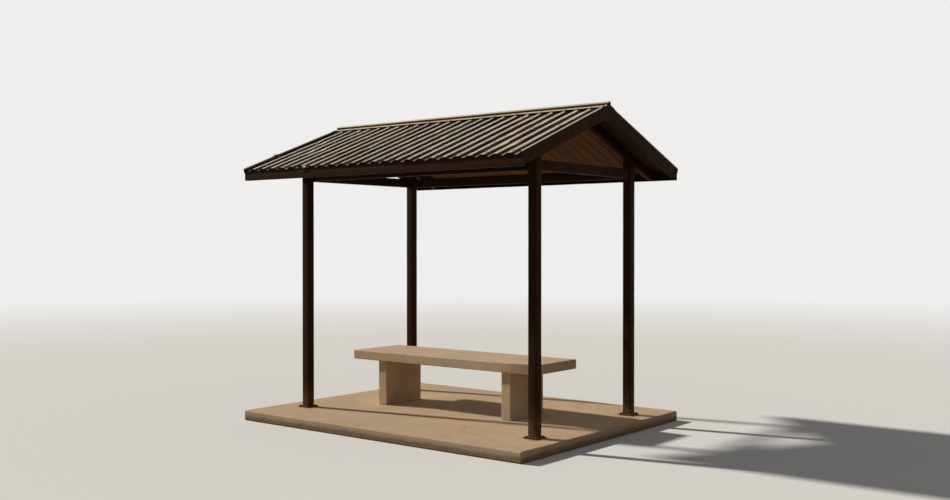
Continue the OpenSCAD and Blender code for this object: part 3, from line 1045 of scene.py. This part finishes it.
def make_ridge_cap():
    """Rolled ridge cap in lapped lengths: two wings that lie on the crests and a hollow roll
    between them."""
    low, high = cad_box("ridge_cap")
    wing_y = high[1]
    thick, lift = 0.0012, 0.0008
    meet = APEX + (CREST + 0.002) / math.cos(SLOPE)
    below = math.radians(38)
    angles = np.linspace(-below, math.pi + below, 24)
    neck = (ROLL_R - thick) * np.column_stack([np.cos(angles), np.sin(angles)]) + (0, ROLL_Z)
    root_y = neck[0, 0] + 0.003
    wing = np.array([
        (wing_y, meet - wing_y * TAN - 0.002),
        (wing_y - 0.002, meet - (wing_y - 0.002) * TAN + lift),
        (root_y, meet - root_y * TAN + lift),
    ])
    path = np.vstack([wing, neck, wing[::-1] * (-1, 1)])
    outline = folded(path[::-1], thick, 0.0008)
    starts = (low[0], *(x - CAP_LAP for x in CAP_JOINTS))
    ends = (*(x + CAP_LAP for x in CAP_JOINTS), high[0])
    parts = []
    for k, (start, end) in enumerate(zip(starts, ends)):
        shape = outline - (0, 0.0006 * (k == 1))
        way = (Y, Z, X, 0 * X, (X, start), (X, end))
        parts.append(bar(shape, *way, rings=30, wobble=0.0004, seed=60 + k))
    points, faces = joined(parts)
    points[:, 2] = np.minimum(points[:, 2], high[2])
    put_mesh("ridge_roll_cap", (points, faces), CAP_METAL, "ridge_cap")


# Fasteners and welds

EDGE_TO_ANCHOR = 0.018
WELD_STEP = 0.0016
WELD_DROP = 0.0042


def hexagon(radius, low, high, ease=0.0006):
    """Hexagonal prism with its top corners eased."""
    return turned([(radius, low), (radius, high - ease), (radius - ease, high)], 6)


def scattered(name, template, spots, normals, finish, seed):
    """One mesh of many copies of a small shape: each copy's Z axis goes along the normal at its
    spot, after a spin of its own."""
    p, faces = template
    n = unit(np.array(normals))
    u = unit(np.cross(n, np.where(np.abs(n[:, :1]) < 0.9, X, Y)))
    v = np.cross(n, u)
    spin = np.random.default_rng(seed).uniform(0, 6.28, (len(n), 1))
    a, b = u * np.cos(spin) + v * np.sin(spin), v * np.cos(spin) - u * np.sin(spin)
    points = np.array(spots)[:, None] + p @ np.stack([a, b, n], 1)
    many = [[i + k * len(p) for i in face] for k in range(len(n)) for face in faces]
    put_mesh(name, (points.reshape(-1, 3), many), finish)


def make_anchors():
    """Anchor studs with nuts and washers in the base plates' corners."""
    thread = [(0.0036 if i % 2 else 0.0040, 0.0074 + 0.0006 * i) for i in range(6)]
    stud = turned([(0.0040, -0.001), *thread, (0.0032, 0.0112)], 12)
    washer = turned([(0.0096, -0.0004), (0.0100, 0.0006), (0.0096, 0.0016)], 20)
    anchor = joined([stud, washer, hexagon(0.0072, 0.0012, 0.0078, 0.0009)])
    spots = []
    for low, high in SOLES:
        x, y, _ = (low + high) / 2
        reach = (high[0] - low[0]) / 2 - EDGE_TO_ANCHOR
        spots += [(x + cx * reach, y + cy * reach, high[2]) for cx in (-1, 1) for cy in (-1, 1)]
    scattered("anchor_studs", anchor, spots, [Z] * len(spots), PLATE_PAINT, 41)


def make_screws():
    """Hexagon screws with sealing washers: zinc ones on the crests and the ridge cap's wings, and
    painted ones through the faces of the rake trims."""
    seal = turned([(0.0080, -0.0002), (0.0078, 0.0012), (0.0066, 0.0022)], 10)
    screw = joined([seal, hexagon(0.0046, 0.0018, 0.0072)])
    down_rake = np.arange(0.16, SHEET_END, 0.24)
    roof, roof_normals, rake, rake_normals = [], [], [], []
    for sy in (-1, 1):
        spots = along_slope(*screw_places(sy), sy)
        roof += list(spots)
        roof_normals += [slope_axes(sy)[1]] * len(spots)
        for sx in (-1, 1):
            rake += list(along_slope(sx * (GABLE_X + 0.0016), down_rake, CREST - 0.026, sy))
            rake_normals += [sx * X] * len(down_rake)
    scattered("roof_screws", screw, roof, roof_normals, CAP_METAL, 43)
    scattered("rake_screws", screw, rake, rake_normals, FRAME_PAINT, 44)


def bead(corners, normal, size, seed):
    """Weld bead round closed corners: a small round section whose radius is rippled by the
    absolute value of a sine, so that it looks laid in overlapping drops."""
    runs = []
    for a, b in zip(corners, np.roll(corners, -1, 0)):
        count = max(3, int(np.linalg.norm(b - a) / WELD_STEP))
        runs.append(a + (b - a) * np.linspace(0, 1, count, endpoint=False)[:, None])
    path = np.concatenate(runs)
    out = unit(np.cross(np.roll(path, -1, 0) - np.roll(path, 1, 0), normal))
    run = np.arange(len(path)) * WELD_STEP
    phase = np.random.default_rng(seed).uniform(0, 3)
    drops = np.abs(np.sin(run / WELD_DROP * math.pi + phase))
    ripple = size * (0.82 + 0.22 * drops + 0.05 * np.sin(run * 41))
    angle = circle(8)[:, None]
    around = np.cos(angle) * out[:, None] + np.sin(angle) * normal
    points = path[:, None] + ripple[:, None, None] * around
    rings, n = points.shape[:2]
    faces = (np.array(ring_faces(rings + 1, n)) % (rings * n)).tolist()
    return facing_out(points.reshape(-1, 3), faces)


def make_welds():
    """Weld beads round the posts' feet and round the rails' ends."""
    parts = []
    for sx, sy, corner in CORNERS:
        low, high = cad_box(f"post_{corner}")
        half = (high[0] - low[0]) / 2
        ring = box_outline(half, half, POST_RADIUS) + ((low + high) / 2)[:2]
        foot = np.column_stack([ring, np.full(len(ring), low[2] + 0.001)])
        parts.append(bead(foot, Z, 0.0038, 70 + sx + 3 * sy))
    for cad, along in RAILS:
        low, high = cad_box(cad)
        across = 1 - along
        for end in (low, high):
            ring = np.tile(end, (4, 1))
            ring[:, across] = [low[across], high[across], high[across], low[across]]
            ring[:, 2] = [low[2], low[2], high[2], high[2]]
            parts.append(bead(ring, (X, Y)[along], 0.0032, 80 + len(parts)))
    put_mesh("weld_beads", joined(parts), FRAME_PAINT, sharp=80.0)


def dress_base_plates():
    """The base plates keep their solids, with their drilled holes, and get the rusty paint."""
    for *_, corner in CORNERS:
        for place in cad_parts[f"base_plate_{corner}"].material_slots:
            place.material = PLATE_PAINT[0]


# Floor, light and camera

BACKDROP = (0.86, 0.855, 0.845)
FLOOR_SEEN = (0.86, 0.875, 0.89)
FLOOR_THROWN = (0.29, 0.285, 0.28)
FLOOR_REACH = 90.0
FILL_COLOUR = (1.0, 0.97, 0.93)
FILL_POWER = 0.165
KEY_COLOUR = (1.0, 0.925, 0.82)
KEY_POWER = 3.8
KEY_SPREAD = math.radians(2.5)
KEY_HIGH = math.radians(30)
KEY_TURN = math.radians(282)
CAMERA_PLACE = (6.6318, -8.1606, 1.7746)
CAMERA_TILT = math.radians(90 - 0.4425)
CAMERA_TURN = math.radians(38.307)
FOCAL_LENGTH = 40.158


def seen_rays(tree):
    """1 for what the camera sees, directly, in a reflection or through glass."""
    rays = node(tree, "ShaderNodeLightPath").outputs
    return highest(rays["Is Camera Ray"], rays["Is Glossy Ray"], rays["Is Transmission Ray"])


def bare_tree(owner):
    """The emptied node tree of a material or world."""
    owner.use_nodes = True
    owner.node_tree.nodes.clear()
    return owner.node_tree


def make_floor():
    """Pale floor that fades into the backdrop. It throws back less light than it shows, so that
    the sides turned from the light stay deep."""
    mesh = bpy.data.meshes.new("floor")
    corners = [(FLOOR_REACH * x, FLOOR_REACH * y, 0) for x, y in ((-1, -1), (1, -1), (1, 1), (-1, 1))]
    mesh.from_pydata(corners, [], [(0, 1, 2, 3)])
    material = bpy.data.materials.new("Pale floor")
    tree = bare_tree(material)
    seen = seen_rays(tree)
    colour = blend(seen, FLOOR_THROWN, FLOOR_SEEN)
    matt = node(tree, "ShaderNodeBsdfDiffuse", {"Color": colour}).outputs[0]
    far = node(tree, "ShaderNodeEmission", {"Color": BACKDROP}).outputs[0]
    wires = {0: object_place(tree)}
    distance = node(tree, "ShaderNodeVectorMath", wires, operation="LENGTH").outputs["Value"]
    fade = times(span(distance, 6.0, 26.0, smooth=True), seen)
    surface = node(tree, "ShaderNodeMixShader", {0: fade, 1: matt, 2: far}).outputs[0]
    node(tree, "ShaderNodeOutputMaterial", {"Surface": surface})
    mesh.materials.append(material)
    floor = placed_object("floor", mesh)


def make_light():
    """A soft fill from all round and a low, slightly warm key from the left."""
    world = bpy.data.worlds.new("Studio")
    bpy.context.scene.world = world
    tree = bare_tree(world)
    wires = {"Color": FILL_COLOUR, "Strength": FILL_POWER}
    soft = node(tree, "ShaderNodeBackground", wires).outputs[0]
    back = node(tree, "ShaderNodeBackground", {"Color": BACKDROP}).outputs[0]
    surface = node(tree, "ShaderNodeMixShader", {0: seen_rays(tree), 1: soft, 2: back}).outputs[0]
    node(tree, "ShaderNodeOutputWorld", {"Surface": surface})
    key = bpy.data.lights.new("key", "SUN")
    key.energy = KEY_POWER
    key.angle = KEY_SPREAD
    key.color = KEY_COLOUR
    placed_object("key", key).rotation_euler = (math.radians(90) - KEY_HIGH, 0, KEY_TURN)


def make_camera():
    """Camera at the photo's place: fitted focal length, turned left and slightly down."""
    camera = bpy.data.cameras.new("camera")
    camera.sensor_width = 36.0
    camera.lens = FOCAL_LENGTH
    camera.clip_end = 300.0
    holder = placed_object("camera", camera)
    holder.location = CAMERA_PLACE
    holder.rotation_euler = (CAMERA_TILT, 0, CAMERA_TURN)
    bpy.context.scene.camera = holder


make_concrete()
make_posts()
make_rails()
make_rafters()
make_ridge_beam()
make_fascias()
make_barge_boards()
make_deck()
make_roof_sheets()
make_torn_flap()
make_rake_trims()
make_ridge_cap()
make_anchors()
make_screws()
make_welds()
dress_base_plates()
make_floor()
make_light()
make_camera()
bpy.context.scene.view_settings.view_transform = "Standard"
